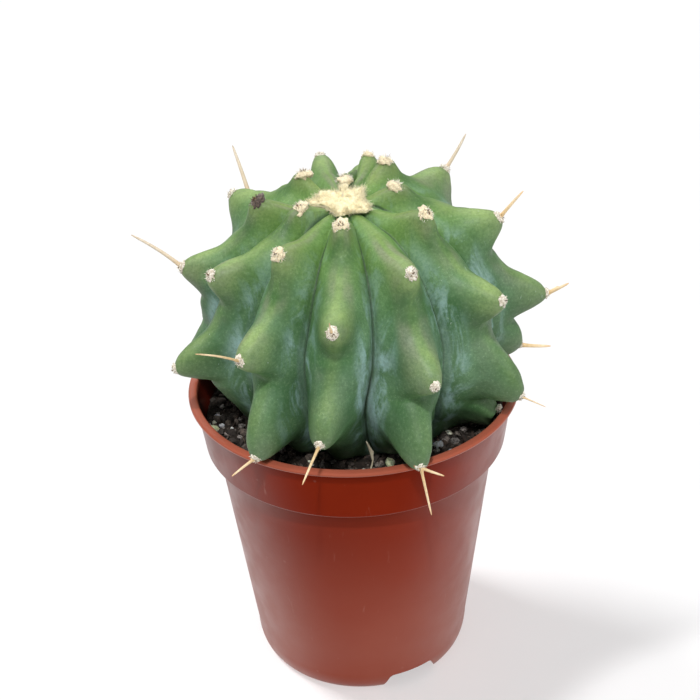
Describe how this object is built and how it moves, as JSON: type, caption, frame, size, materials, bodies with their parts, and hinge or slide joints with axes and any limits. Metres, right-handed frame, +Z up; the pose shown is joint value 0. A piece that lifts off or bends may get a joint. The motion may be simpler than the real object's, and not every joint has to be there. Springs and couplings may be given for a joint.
{
  "type": "potted barrel cactus",
  "caption": "Small ribbed barrel cactus with woolly areoles, a few stout spines and a wool-covered crown, standing in a round moulded nursery pot filled with peat mix.",
  "frame": {"origin": "centre of the pot's foot, on the surface that the pot stands on", "axes": "+Z up along the pot's axis, -Y towards the viewer of the picture, +X to the right in the picture"},
  "size_m": [0.1058, 0.1117, 0.1369],
  "materials": {
    "pot": "satin red-brown moulded plastic",
    "soil": "rough, dark, moist peat mix",
    "cactus": "satin plant skin, green with a grey bloom",
    "crown_wool": "matt cream plant wool"
  },
  "bodies": {
    "root": {"pot": "pot", "soil": "soil", "cactus": "cactus", "crown_wool": "crown_wool"}
  },
  "joints": []
}
